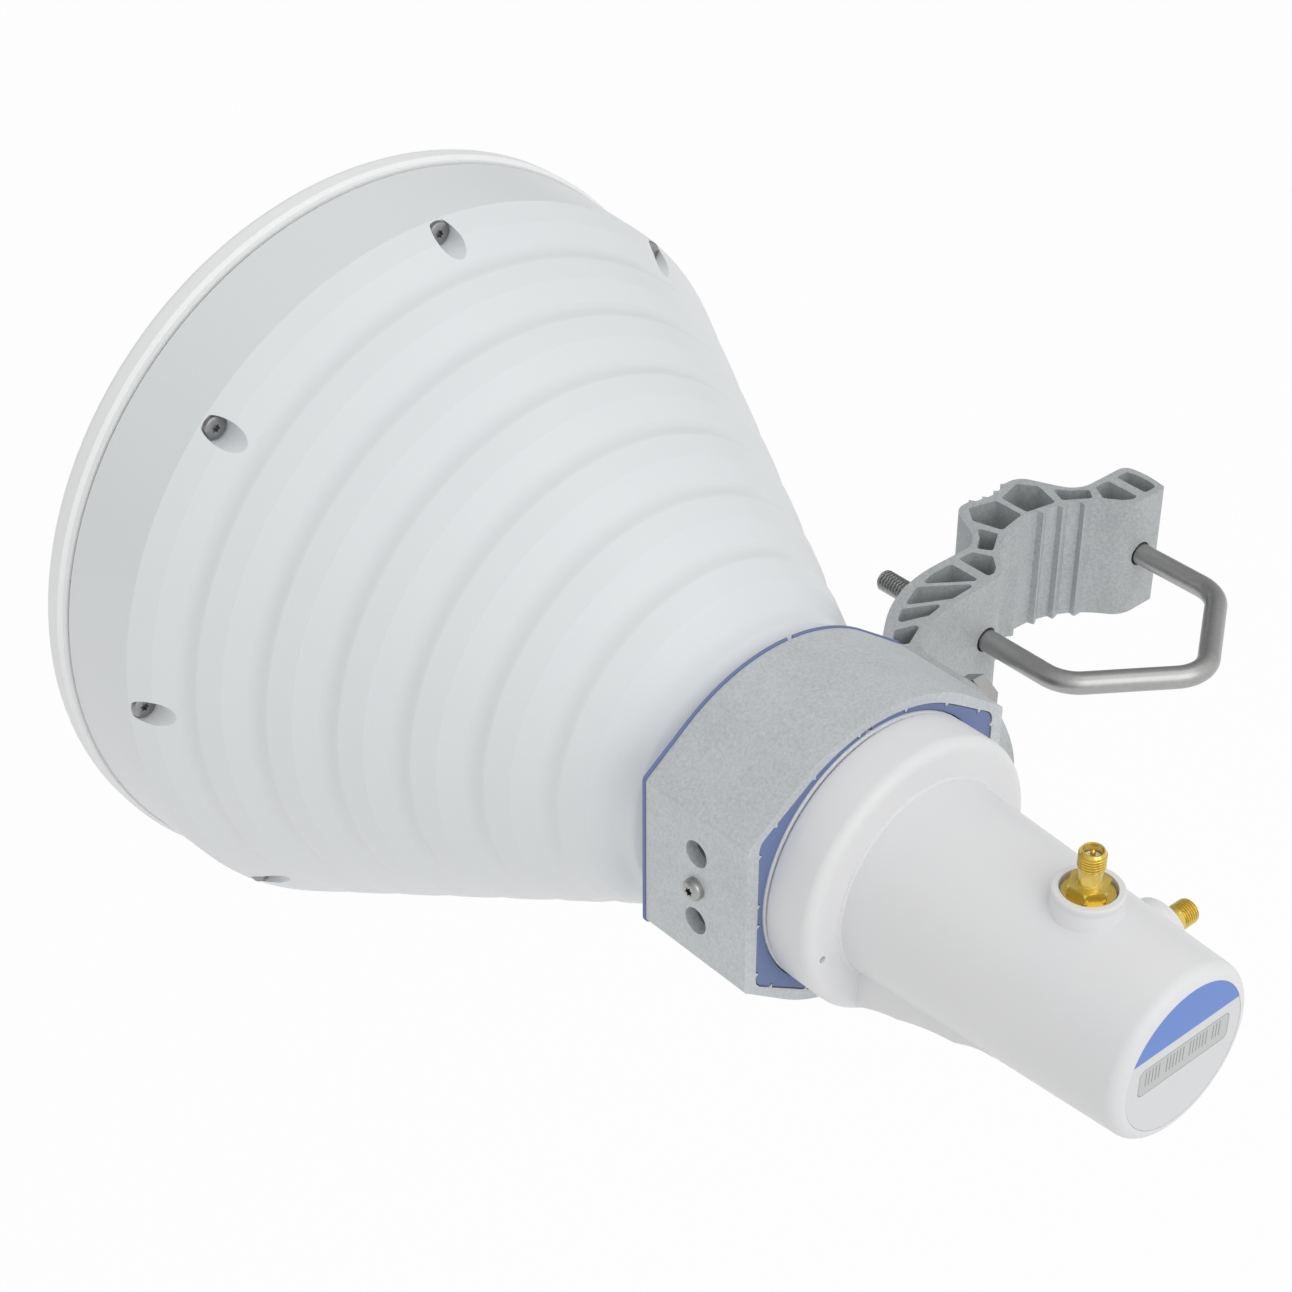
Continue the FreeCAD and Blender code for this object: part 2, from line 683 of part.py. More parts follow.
def tilt_slot(first_angle):
    """Curved slot about the pivot for one foot bolt, cut through the foot."""
    def place(radius, angle):
        turn = math.radians(angle)
        return Vector(foot_inner_x - 1, pivot_y + radius * math.sin(turn), radius * math.cos(turn))

    low = first_angle - tilt_half_range
    high = first_angle + tilt_half_range
    inner = foot_bolt_z - m6_hole
    outer = foot_bolt_z + m6_hole
    cap = math.degrees(m6_hole / foot_bolt_z)
    edges = [Part.Arc(place(outer, low), place(outer, first_angle), place(outer, high)).toShape(),
             Part.Arc(place(outer, high), place(foot_bolt_z, high + cap), place(inner, high)).toShape(),
             Part.Arc(place(inner, high), place(inner, first_angle), place(inner, low)).toShape(),
             Part.Arc(place(inner, low), place(foot_bolt_z, low - cap), place(outer, low)).toShape()]
    return Part.Face(Part.Wire(edges)).extrude(Vector(foot_thickness + 2, 0, 0))


def make_bracket_arm():
    """Extruded arm: toothed pole seat, truss cells and a rounded foot with tilt slots."""
    arm = upright_prism(arm_outline(), arm_height)
    arm = arm.cut(rod(seat_radius, Vector(0, 0, -arm_height), Vector(0, 0, arm_height)))
    edge_x = math.sqrt(seat_radius ** 2 - arm_back_y ** 2)
    seat_edges = [e for e in arm.Edges if abs(e.BoundBox.ZLength - arm_height) < 0.01
                  and abs(abs(e.CenterOfMass.x) - edge_x) < 0.6 and abs(e.CenterOfMass.y - arm_back_y) < 0.6]
    arm = arm.makeFillet(seat_edge_round, seat_edges)
    for tooth in seat_teeth():
        arm = arm.fuse(tooth)
    for cell in arm_cells():
        arm = arm.cut(upright_prism(cell, arm_height + 2))
    foot_box = Part.makeBox(200, 200, arm_height, Vector(foot_inner_x - 1, pivot_y, -arm_height / 2))
    foot_round = rod(arm_height / 2, Vector(foot_inner_x - 1, pivot_y, 0), Vector(foot_outer_x + 1, pivot_y, 0))
    arm = arm.common(foot_box.fuse(foot_round))
    arm = arm.cut(rod(m3_head_radius + running_gap, Vector(foot_inner_x - 1, pivot_y, 0),
                      Vector(foot_outer_x + 1, pivot_y, 0)))
    for first_angle in (0, 180):
        arm = arm.cut(tilt_slot(first_angle))
    for x in (leg_x, -leg_x):
        arm = arm.cut(rod(leg_hole, Vector(x, 0, 0), Vector(x, beak_y, 0)))
    return arm.removeSplitter()


# V-bolt and its nuts
def make_v_bolt():
    """Round rod bent to a V, with two threaded legs through the arm."""
    corners = [Vector(-leg_x, bolt_leg_end, 0), Vector(-leg_x, bolt_corner_y, 0), Vector(0, bolt_apex_y, 0),
               Vector(leg_x, bolt_corner_y, 0), Vector(leg_x, bolt_leg_end, 0)]
    edges = []
    start = corners[0]
    for i in (1, 2, 3):
        before = (corners[i - 1] - corners[i]).normalize()
        after = (corners[i + 1] - corners[i]).normalize()
        half = before.getAngle(after) / 2
        reach = bolt_bend / math.tan(half)
        centre = corners[i] + (before + after).normalize() * (bolt_bend / math.sin(half))
        middle = centre + (corners[i] - centre).normalize() * bolt_bend
        edges.append(Part.makeLine(start, corners[i] + before * reach))
        edges.append(Part.Arc(corners[i] + before * reach, middle, corners[i] + after * reach).toShape())
        start = corners[i] + after * reach
    edges.append(Part.makeLine(start, corners[4]))
    section = Part.Wire(Part.makeCircle(m6_radius, corners[0], Vector(0, -1, 0)))
    bolt = Part.Wire(edges).makePipeShell([section], True, False)
    tips = [e for e in bolt.Edges if abs(e.CenterOfMass.y - bolt_leg_end) < 1e-3]
    return bolt.makeChamfer(0.8, tips)


def make_v_bolt_washers():
    """Washers on the front of the arm."""
    return Part.Compound([washer(Vector(x, arm_front_y, 0), forward, m6_washer_radius,
                                 m6_radius + running_gap, m6_washer) for x in (leg_x, -leg_x)])


def make_v_bolt_nuts():
    """Nuts that clamp the arm to the pole."""
    nuts = []
    for x in (leg_x, -leg_x):
        seat = Vector(x, arm_front_y + m6_washer, 0)
        nut = hex_prism(m6_across_flats, seat, forward, m6_nut_height)
        nuts.append(nut.cut(rod(m6_radius + running_gap, seat, seat + forward * m6_nut_height)))
    return Part.Compound(nuts)


# Adapter
cup_front = neck_end + cup_gap
cup_face = cup_front + cup_length
tube_end = cup_face + tube_length
spigot_front = cup_front - spigot_length
lug_outer = neck_radius - neck_wall - running_gap * 2
lug_back = lip_back - running_gap - lug_length
core_end = tube_end - face_wall - 0.2


def tube_radius(back):
    """Outer radius of the tapered tube."""
    share = (back - cup_face) / tube_length
    return tube_base_radius + (tube_end_radius - tube_base_radius) * share


def jack_frame(shape, side):
    """Turns a shape built about the upright jack axis to the top or to the side."""
    if side == "side":
        shape = shape.rotated(Vector(0, 0, 0), forward, 90)
    shape.translate(at_back(0, jack_back, 0))
    return shape


def ramp():
    """Grip under the tube with three finger scoops, between two flat sides."""
    rims = [(cup_face - 2.0, ramp_scoops[0][1] - 2.0)]
    rims += [(cup_face + offset, radius) for offset, radius in ramp_scoops]
    edges = [Part.makeLine(at_back(rims[0][1], rims[0][0], 0), at_back(rims[1][1], rims[1][0], 0))]
    for (back_a, radius_a), (back_b, radius_b) in zip(rims[1:], rims[2:]):
        middle = at_back((radius_a + radius_b) / 2 - scoop_depth, (back_a + back_b) / 2, 0)
        edges.append(Part.Arc(at_back(radius_a, back_a, 0), middle, at_back(radius_b, back_b, 0)).toShape())
    inside = tube_end_radius - tube_wall / 2
    last = at_back(inside, rims[-1][0], 0)
    first = at_back(inside, rims[0][0], 0)
    edges.append(Part.makeLine(at_back(rims[-1][1], rims[-1][0], 0), last))
    edges.append(Part.makeLine(last, first))
    edges.append(Part.makeLine(first, at_back(rims[0][1], rims[0][0], 0)))
    skirt = Part.Face(Part.Wire(edges)).revolve(axis_point, forward, 360)
    slab = Part.makeBox(2 * ramp_half_width, 60, 60, Vector(horn_axis_x - ramp_half_width,
                                                            mouth_y - rims[-1][0] - 1, -60))
    return skirt.common(slab)


def jack_boss():
    """Flared boss for one jack with a rounded lip over a waist, before its recess is cut."""
    base = 18.0
    waist = jack_boss_radius - jack_boss_waist
    under_lip = jack_boss_top - jack_boss_lip
    wire = corner_wire([(0, base), (jack_boss_radius + jack_boss_flare, base), (waist, under_lip - 0.5, 2.0),
                        (jack_boss_radius, under_lip + 0.2, 0.3), (jack_boss_radius, jack_boss_top, 0.5),
                        (0, jack_boss_top)], lambda radius, height: Vector(radius, 0, height))
    return Part.Face(wire).revolve(Vector(0, 0, 0), up, 360)


def jack_cutter():
    """Recess and through hole for one jack."""
    recess = rod(jack_recess_radius, Vector(0, 0, jack_recess_floor), Vector(0, 0, jack_boss_top + 1))
    return recess.fuse(rod(jack_thread_radius + fit_gap, Vector(0, 0, 10), Vector(0, 0, jack_boss_top)))


def make_adapter_housing():
    """Moulded housing: bayonet spigot, cup, tapered tube, finger ramp and two jack bosses."""
    outside = turned([(0, spigot_front), (spigot_outer, spigot_front, 0.5), (spigot_outer, cup_front),
                      (neck_radius, cup_front, neck_edge), (neck_radius, cup_face, cup_fillet),
                      (tube_base_radius + tube_collar, cup_face, 0.3),
                      (tube_base_radius + tube_collar, cup_face + tube_collar, 0.3),
                      (tube_radius(cup_face + tube_collar), cup_face + tube_collar),
                      (tube_end_radius, tube_end, tube_fillet), (0, tube_end)])
    outside = outside.fuse(ramp())
    for side in ("top", "side"):
        outside = outside.fuse(jack_frame(jack_boss(), side))
    tube_front = tube_radius(cup_face) - tube_wall
    tube_rear = tube_end_radius - tube_wall
    inside = turned([(0, spigot_front - 1), (spigot_inner, spigot_front - 1),
                     (spigot_inner, cup_face - face_wall), (tube_front, cup_face - face_wall),
                     (tube_rear, tube_end - face_wall), (0, tube_end - face_wall)])
    housing = outside.cut(inside)
    for k in range(lug_count):
        lug = ring_sector(spigot_inner + 0.5, lug_outer, lug_back, lug_length, lug_angle, 360.0 * k / lug_count)
        housing = housing.fuse(lug)
    post = rod(3.2, at_back(0, core_flange_rear, core_screw_circle),
               at_back(0, cup_face - face_wall + 0.5, core_screw_circle))
    pilot = rod(m3_radius + thread_gap, at_back(0, core_flange_rear - 1, core_screw_circle),
                at_back(0, cup_face - 1.2, core_screw_circle))
    for copy in around_horn(post, 3, 60.0):
        housing = housing.fuse(copy)
    for copy in around_horn(pilot, 3, 60.0):
        housing = housing.cut(copy)
    for side in ("top", "side"):
        housing = housing.cut(jack_frame(jack_cutter(), side))
    housing = housing.cut(turned([(0, tube_end - label_thickness - 0.1), (label_radius + 0.1,
                                  tube_end - label_thickness - 0.1), (label_radius + 0.1, tube_end + 1),
                                  (0, tube_end + 1)]))
    groove = turned([(seal_circle - seal_section - 0.05, cup_front - 1), (seal_circle + seal_section + 0.05, cup_front - 1),
                     (seal_circle + seal_section + 0.05, cup_front + 2 * seal_section),
                     (seal_circle - seal_section - 0.05, cup_front + 2 * seal_section)])
    housing = housing.cut(groove)
    drain = rod(0.9, at_back(-31.0, cup_face - 1.5, -7.0), at_back(-31.0, cup_face + 1, -7.0))
    return housing.cut(drain).removeSplitter()


core_flange_rear = cup_front + 5.5
core_front = neck_end + cup_gap


def make_waveguide_core():
    """Cast waveguide inside the housing, closed at its rear end, with a screw flange."""
    core = turned([(guide_radius, core_front), (core_outer, core_front),
                   (core_outer, core_flange_rear - core_flange),
                   (core_flange_radius, core_flange_rear - core_flange),
                   (core_flange_radius, core_flange_rear), (core_outer, core_flange_rear),
                   (core_outer, core_end), (0, core_end), (0, core_end - 2), (guide_radius, core_end - 2)])
    hole = rod(m3_hole, at_back(0, core_flange_rear - 4, core_screw_circle),
               at_back(0, core_flange_rear + 1, core_screw_circle))
    for copy in around_horn(hole, 3, 60.0):
        core = core.cut(copy)
    for side in ("top", "side"):
        port = rod(insulator_radius + fit_gap, Vector(0, 0, 10), Vector(0, 0, core_outer + 1))
        core = core.cut(jack_frame(port, side))
    return core.removeSplitter()


def make_core_screws():
    """Screws that hold the waveguide core in the housing, hidden and so without sockets."""
    screw = pan_screw(at_back(0, core_flange_rear - core_flange, core_screw_circle), forward * -1, core_screw_length,
                      socket=False)
    return Part.Compound(around_horn(screw, 3, 60.0))


def make_port_seal():
    """Square-section ring in the front face of the cup, against the end of the neck."""
    inner = seal_circle - seal_section
    outer = seal_circle + seal_section
    front = cup_front - seal_proud
    return turned([(inner, front), (outer, front), (outer, front + 2 * seal_section),
                   (inner, front + 2 * seal_section)])


def make_end_label():
    """Round film label in the recess at the rear end."""
    rear = tube_end - 0.05
    return turned([(0, rear - label_thickness), (label_radius, rear - label_thickness),
                   (label_radius, rear), (0, rear)])


# Jacks: heights measured outward from the horn axis
hex_bottom = jack_recess_floor + jack_washer
hex_top = hex_bottom + jack_hex
neck_top = hex_top + jack_neck
thread_top = neck_top + jack_thread
nose_top = thread_top + jack_nose
body_bottom = core_outer + 0.1


def make_jack_body():
    """Gold-plated body: shank, hexagon, plain neck, threaded barrel and chamfered nose."""
    body = rod(jack_thread_radius, Vector(0, 0, body_bottom), Vector(0, 0, hex_bottom))
    body = body.fuse(hex_prism(jack_hex_flats, Vector(0, 0, hex_bottom), up, jack_hex, 9.0))
    body = body.fuse(rod(jack_neck_radius, Vector(0, 0, hex_top), Vector(0, 0, neck_top)))
    body = body.fuse(rod(jack_thread_radius, Vector(0, 0, neck_top), Vector(0, 0, thread_top)))
    body = body.fuse(Part.makeCone(jack_thread_radius, jack_nose_radius, jack_nose,
                                   Vector(0, 0, thread_top), up))
    body = body.cut(rod(insulator_radius + thread_gap, Vector(0, 0, body_bottom - 1),
                        Vector(0, 0, nose_top + 1)))
    return body.cut(rod(jack_bore, Vector(0, 0, nose_top - insulator_recess), Vector(0, 0, nose_top + 1)))


def make_jack_washer():
    """Round plated washer under the hexagon."""
    return washer(Vector(0, 0, jack_recess_floor), up, jack_washer_radius,
                  jack_thread_radius + thread_gap, jack_washer)


def make_jack_insulator():
    """White insulator inside the body, flush with the waveguide wall."""
    bottom = Vector(0, 0, guide_radius + 0.1)
    top = Vector(0, 0, nose_top - insulator_recess)
    return rod(insulator_radius, bottom, top).cut(rod(jack_pin_radius + thread_gap, bottom, top))


def make_jack_pin():
    """Centre pin: pointed at the nose, and the probe at its inner end."""
    tip = nose_top - jack_pin_recess
    pin = rod(jack_pin_radius, Vector(0, 0, probe_reach), Vector(0, 0, tip - 0.6))
    return pin.fuse(Part.makeCone(jack_pin_radius, 0.2, 0.6, Vector(0, 0, tip - 0.6), up))


nodes = {
    "horn_shell": make_horn_shell(),
    "radome_cap": make_radome_cap(),
    "radome_seal": make_radome_seal(),
    "cap_screws": make_cap_screws(),
    "clamp_band": make_clamp_band(),
    "band_liner": make_band_liner(),
    "nut_saddles": make_nut_saddles(),
    "saddle_screws": make_saddle_screws(),
    "foot_bolts": make_foot_bolts(),
    "foot_washers": make_foot_washers(),
    "foot_spring_washers": make_foot_spring_washers(),
    "bracket_arm": make_bracket_arm(),
    "v_bolt": make_v_bolt(),
    "v_bolt_washers": make_v_bolt_washers(),
    "v_bolt_nuts": make_v_bolt_nuts(),
    "adapter_housing": make_adapter_housing(),
    "waveguide_core": make_waveguide_core(),
    "core_screws": make_core_screws(),
    "port_seal": make_port_seal(),
    "end_label": make_end_label(),
}
for side in ("top", "side"):
    nodes[side + "_jack_body"] = jack_frame(make_jack_body(), side)
    nodes[side + "_jack_washer"] = jack_frame(make_jack_washer(), side)
    nodes[side + "_jack_insulator"] = jack_frame(make_jack_insulator(), side)
    nodes[side + "_jack_pin"] = jack_frame(make_jack_pin(), side)

os.makedirs("parts", exist_ok=True)
for name, shape in nodes.items():
    shape.exportStep("parts/" + name + ".step")
    print(name, "solids", len(shape.Solids), "valid", shape.isValid(), "volume", round(shape.Volume, 1))
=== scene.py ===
import math
import bpy
import bmesh
from mathutils import Matrix, Vector


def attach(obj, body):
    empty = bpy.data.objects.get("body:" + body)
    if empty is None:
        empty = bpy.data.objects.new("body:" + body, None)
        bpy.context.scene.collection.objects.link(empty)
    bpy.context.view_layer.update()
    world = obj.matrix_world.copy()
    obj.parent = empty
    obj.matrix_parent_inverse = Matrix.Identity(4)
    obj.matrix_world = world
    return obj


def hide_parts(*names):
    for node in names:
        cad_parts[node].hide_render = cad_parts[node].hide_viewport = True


# Horn antenna with a coaxial adapter on a pole bracket
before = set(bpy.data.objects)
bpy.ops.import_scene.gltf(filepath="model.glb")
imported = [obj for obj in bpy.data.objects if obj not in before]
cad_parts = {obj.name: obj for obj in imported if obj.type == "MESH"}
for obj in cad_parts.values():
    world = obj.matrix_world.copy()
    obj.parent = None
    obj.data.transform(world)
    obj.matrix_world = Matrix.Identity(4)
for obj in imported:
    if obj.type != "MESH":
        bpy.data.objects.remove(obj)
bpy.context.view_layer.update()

# Metres; the pole's axis is Z and the horn looks along +Y
MM = 0.001
HORN_AXIS = Vector((-0.1125, 0.0, 0.0))
MOUTH_Y = 0.1587
FULL_TURN = 2 * math.pi


# Node trees
class Value:
    """A socket of a node tree; arithmetic on it adds Math nodes."""

    def __init__(self, shading, socket):
        self.shading = shading
        self.socket = socket

    def math(self, operation, *values):
        return self.shading.node("ShaderNodeMath", {"operation": operation}, dict(enumerate(values)))

    def __add__(self, other):
        return self.math("ADD", self, other)

    def __radd__(self, other):
        return self.math("ADD", other, self)

    def __sub__(self, other):
        return self.math("SUBTRACT", self, other)

    def __rsub__(self, other):
        return self.math("SUBTRACT", other, self)

    def __mul__(self, other):
        return self.math("MULTIPLY", self, other)

    def __rmul__(self, other):
        return self.math("MULTIPLY", other, self)

    def __truediv__(self, other):
        return self.math("DIVIDE", self, other)

    def __rtruediv__(self, other):
        return self.math("DIVIDE", other, self)

    def __gt__(self, other):
        return self.math("GREATER_THAN", self, other)

    def __lt__(self, other):
        return self.math("LESS_THAN", self, other)

    def __abs__(self):
        return self.math("ABSOLUTE", self)

    def at_least(self, low):
        return self.math("MAXIMUM", self, low)

    def clamped(self):
        return self.math("MINIMUM", self.at_least(0.0), 1.0)


class Shading:
    """The nodes of a material or of the world."""

    def __init__(self, tree):
        self.nodes = tree.nodes
        self.links = tree.links

    def node(self, kind, settings=None, sockets=None, output=0):
        """Adds a node: its settings first, then the values or links of its sockets."""
        made = self.nodes.new(kind)
        for key, value in (settings or {}).items():
            if key == "stops":
                self.set_stops(made.color_ramp, value)
            else:
                setattr(made, key, value)
        for key, value in (sockets or {}).items():
            self.feed(made.inputs[key], value)
        return Value(self, made.outputs[output])

    def set_stops(self, ramp, stops):
        while len(ramp.elements) < len(stops):
            ramp.elements.new(0.5)
        for element, (place, colour) in zip(ramp.elements, stops):
            element.position = place
            element.color = colour

    def feed(self, socket, value):
        if isinstance(value, Value):
            self.links.new(value.socket, socket)
        else:
            socket.default_value = value

    def place(self):
        return self.node("ShaderNodeTexCoord", output="Object")

    def parts(self, vector):
        """The x, y and z of a vector."""
        source = self.node("ShaderNodeSeparateXYZ", None, {"Vector": vector})
        return [Value(self, output) for output in source.socket.node.outputs]

    def noise(self, scale, detail=3.0, roughness=0.5):
        return self.node("ShaderNodeTexNoise", None, {"Vector": self.place(), "Scale": scale,
                                                      "Detail": detail, "Roughness": roughness})

    def mix(self, factor, first, second):
        """Mixes two colours."""
        return self.node("ShaderNodeMix", {"data_type": "RGBA"}, {0: factor, 6: first, 7: second}, 2)

    def between(self, factor, first, second):
        """Mixes two numbers."""
        return self.node("ShaderNodeMix", {"data_type": "FLOAT"}, {0: factor, 2: first, 3: second})

    def ramp(self, factor, *stops):
        return self.node("ShaderNodeValToRGB", {"stops": stops}, {"Fac": factor})

    def bump(self, height, distance, strength):
        sockets = {"Height": height, "Distance": distance, "Strength": strength}
        return self.node("ShaderNodeBump", None, sockets)


class Finish(Shading):
    """A node material with one Principled shader."""

    def __init__(self, name, **constants):
        self.name = name
        self.material = bpy.data.materials.new(name)
        self.material.use_nodes = True
        super().__init__(self.material.node_tree)
        self.shader = self.nodes["Principled BSDF"]
        self.set(**constants)

    def set(self, **sockets):
        for key, value in sockets.items():
            self.feed(self.shader.inputs[key.replace("_", " ")], value)
        return self


def grey(level, tint=(1.0, 1.0, 1.0)):
    return tuple(level * t for t in tint) + (1.0,)


# Finishes of the antenna
def powder_coat():
    """Smooth white coat on the casting, with a barely visible orange peel."""
    finish = Finish("powder_coat", Specular_IOR_Level=0.4)
    drift = finish.noise(14.0)
    peel = finish.noise(1400.0, detail=2.0)
    colour = finish.mix(drift, grey(0.765, (0.97, 1.0, 1.02)), grey(0.785, (0.975, 1.0, 1.015)))
    return finish.set(Base_Color=colour, Roughness=0.36 + peel * 0.06,
                      Normal=finish.bump(peel, 0.00004, 0.5))


def cap_plastic():
    """White plastic of the mouth cover."""
    finish = Finish("cap_plastic", Specular_IOR_Level=0.4)
    drift = finish.noise(9.0)
    grain = finish.noise(2600.0, detail=2.0)
    colour = finish.mix(drift, grey(0.86, (0.99, 1.0, 1.0)), grey(0.89, (0.995, 1.0, 1.0)))
    return finish.set(Base_Color=colour, Roughness=0.42 + grain * 0.06,
                      Normal=finish.bump(grain, 0.00003, 0.5))


def housing_plastic():
    """White moulded plastic of the adapter."""
    finish = Finish("housing_plastic", Specular_IOR_Level=0.4)
    drift = finish.noise(30.0)
    grain = finish.noise(3000.0, detail=2.0)
    colour = finish.mix(drift, grey(0.77, (0.99, 0.995, 1.01)), grey(0.80, (0.995, 0.998, 1.005)))
    return finish.set(Base_Color=colour, Roughness=0.38 + grain * 0.06,
                      Normal=finish.bump(grain, 0.00003, 0.5))


def blasted_aluminium(name, level):
    """Bare extrusion with a fine blasted speckle and slight clouds."""
    finish = Finish(name, Metallic=0.3, Specular_IOR_Level=0.5)
    speckle = finish.noise(1100.0, detail=4.0, roughness=0.75)
    fine = finish.noise(3200.0, detail=2.0, roughness=0.6)
    cloud = finish.noise(70.0)
    tone = (speckle * 0.9 + fine * 0.35 + cloud * 0.25 - 0.35).clamped()
    colour = finish.ramp(tone,
                         (0.12, grey(level - 0.16, (0.96, 1.0, 1.03))),
                         (0.45, grey(level, (0.965, 1.0, 1.02))),
                         (0.8, grey(level + 0.14, (0.97, 1.0, 1.015))))
    return finish.set(Base_Color=colour, Roughness=0.46 + speckle * 0.2,
                      Normal=finish.bump(speckle + fine * 0.5, 0.00009, 0.8))


def satin_steel():
    """Stainless steel of bolts, washers and nuts."""
    finish = Finish("satin_steel", Metallic=1.0)
    streak = finish.noise(700.0)
    colour = finish.mix(streak, grey(0.36, (1.0, 0.995, 0.985)), grey(0.46, (1.0, 0.998, 0.99)))
    return finish.set(Base_Color=colour, Roughness=0.30 + streak * 0.12,
                      Normal=finish.bump(streak, 0.00002, 0.4))


def dark_steel():
    """Small machine screws, a little darker than the bolts."""
    finish = Finish("dark_steel", Metallic=1.0)
    stain = finish.noise(900.0)
    colour = finish.mix(stain, grey(0.28), grey(0.38))
    return finish.set(Base_Color=colour, Roughness=0.36 + stain * 0.1,
                      Normal=finish.bump(stain, 0.00002, 0.4))


def blue_plastic():
    """Matte blue liner."""
    finish = Finish("blue_plastic", Specular_IOR_Level=0.3)
    grain = finish.noise(2200.0, detail=2.0)
    colour = finish.mix(grain, (0.155, 0.207, 0.385, 1.0), (0.182, 0.235, 0.418, 1.0))
    return finish.set(Base_Color=colour, Roughness=0.5 + grain * 0.1,
                      Normal=finish.bump(grain, 0.00003, 0.5))


def black_rubber():
    """Seals."""
    finish = Finish("black_rubber", Specular_IOR_Level=0.3)
    grain = finish.noise(1500.0, detail=2.0)
    return finish.set(Base_Color=finish.mix(grain, grey(0.05), grey(0.08)), Roughness=0.6 + grain * 0.15)


def gold_plate():
    """Gold-plated brass, satin under a bright skin, with slight stains."""
    finish = Finish("gold_plate", Metallic=0.6, Coat_Weight=1.0, Coat_Roughness=0.06, Coat_IOR=1.7)
    wear = finish.noise(600.0)
    colour = finish.mix(wear, (0.68, 0.47, 0.04, 1.0), (0.80, 0.58, 0.08, 1.0))
    return finish.set(Base_Color=colour, Roughness=0.12 + wear * 0.1)


def white_insulator():
    """White insulator in the jacks."""
    finish = Finish("white_insulator", Specular_IOR_Level=0.3)
    grain = finish.noise(1800.0, detail=2.0)
    return finish.set(Base_Color=finish.mix(grain, grey(0.80), grey(0.88)), Roughness=0.4 + grain * 0.1)


# The label's drawing, in millimetres from the horn's axis: boxes are half width, half height and corner
WINDOW_MIDDLE, WINDOW, OPENING = 0.4, (14.8, 3.8, 1.6), (14.5, 3.5, 1.4)
BAR_PITCH, BAR_HALF_WIDTH, BAR_MIDDLE, BAR_HALF_HEIGHT = 1.07, 0.16, 1.1, 2.1
BLUE_EDGE = 6.9


def rounded_box(x, y, half_width, half_height, corner):
    """1 inside a rectangle with rounded corners and 0 outside it."""
    over_x = (abs(x) - (half_width - corner)).at_least(0.0)
    over_y = (abs(y) - (half_height - corner)).at_least(0.0)
    return over_x * over_x + over_y * over_y < corner * corner


def bar_group(finish, across, first, count):
    """1 on a number of plain bars that start at a place, and 0 elsewhere."""
    middle = first + BAR_PITCH * (count - 1) / 2
    wave = finish.node("ShaderNodeMath", {"operation": "PINGPONG"}, {0: across - first, 1: BAR_PITCH / 2})
    return (wave < BAR_HALF_WIDTH) * (abs(across - middle) < BAR_PITCH * count / 2)


def label_film():
    """Printed film: a blue field above, a framed window of plain bars and a pale field below."""
    finish = Finish("label_film", Specular_IOR_Level=0.4)
    place = finish.parts(finish.place())
    across = (place[0] - HORN_AXIS.x) / MM
    height = place[2] / MM
    grain = finish.noise(1200.0, detail=2.0)
    paper = finish.mix(grain, grey(0.70, (0.98, 0.985, 1.01)), grey(0.73, (0.985, 0.99, 1.01)))
    blue = finish.mix(grain, (0.115, 0.23, 0.62, 1.0), (0.13, 0.25, 0.65, 1.0))
    bars = (bar_group(finish, across, -12.5, 5) + bar_group(finish, across, -5.7, 6)
            + bar_group(finish, across, 1.9, 6) + bar_group(finish, across, 9.5, 3))
    bars = bars * (abs(height - BAR_MIDDLE) < BAR_HALF_HEIGHT)
    window = rounded_box(across, height - WINDOW_MIDDLE, *WINDOW)
    opening = rounded_box(across, height - WINDOW_MIDDLE, *OPENING)
    colour = finish.mix(window, paper, grey(0.36))
    colour = finish.mix(opening, colour, grey(0.55, (0.99, 0.995, 1.0)))
    colour = finish.mix(bars.clamped(), colour, grey(0.24))
    colour = finish.mix(height > BLUE_EDGE, colour, blue)
    return finish.set(Base_Color=colour, Roughness=0.3 + grain * 0.05)


FINISHES = {
    finish.name: finish.material for finish in (
        powder_coat(), cap_plastic(), housing_plastic(), blasted_aluminium("band_aluminium", 0.65),
        blasted_aluminium("arm_aluminium", 0.52), satin_steel(), dark_steel(), blue_plastic(),
        black_rubber(), gold_plate(), white_insulator(), label_film())
}
NODES_BY_FINISH = {
    "powder_coat": ["horn_shell", "waveguide_core"],
    "cap_plastic": ["radome_cap"],
    "housing_plastic": ["adapter_housing"],
    "band_aluminium": ["clamp_band"],
    "arm_aluminium": ["bracket_arm"],
    "satin_steel": ["nut_saddles", "foot_bolts", "foot_washers", "foot_spring_washers", "v_bolt",
                    "v_bolt_washers", "v_bolt_nuts"],
    "dark_steel": ["cap_screws", "saddle_screws", "core_screws"],
    "blue_plastic": ["band_liner"],
    "black_rubber": ["radome_seal", "port_seal"],
    "gold_plate": [side + piece for side in ("top", "side")
                   for piece in ("_jack_body", "_jack_washer", "_jack_pin")],
    "white_insulator": ["top_jack_insulator", "side_jack_insulator"],
    "label_film": ["end_label"],
}


def dress(piece, finish_name):
    """Gives a piece one of the finishes."""
    piece.data.materials.clear()
    piece.data.materials.append(FINISHES[finish_name])


for finish_name, node_names in NODES_BY_FINISH.items():
    for node_name in node_names:
        dress(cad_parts[node_name], finish_name)


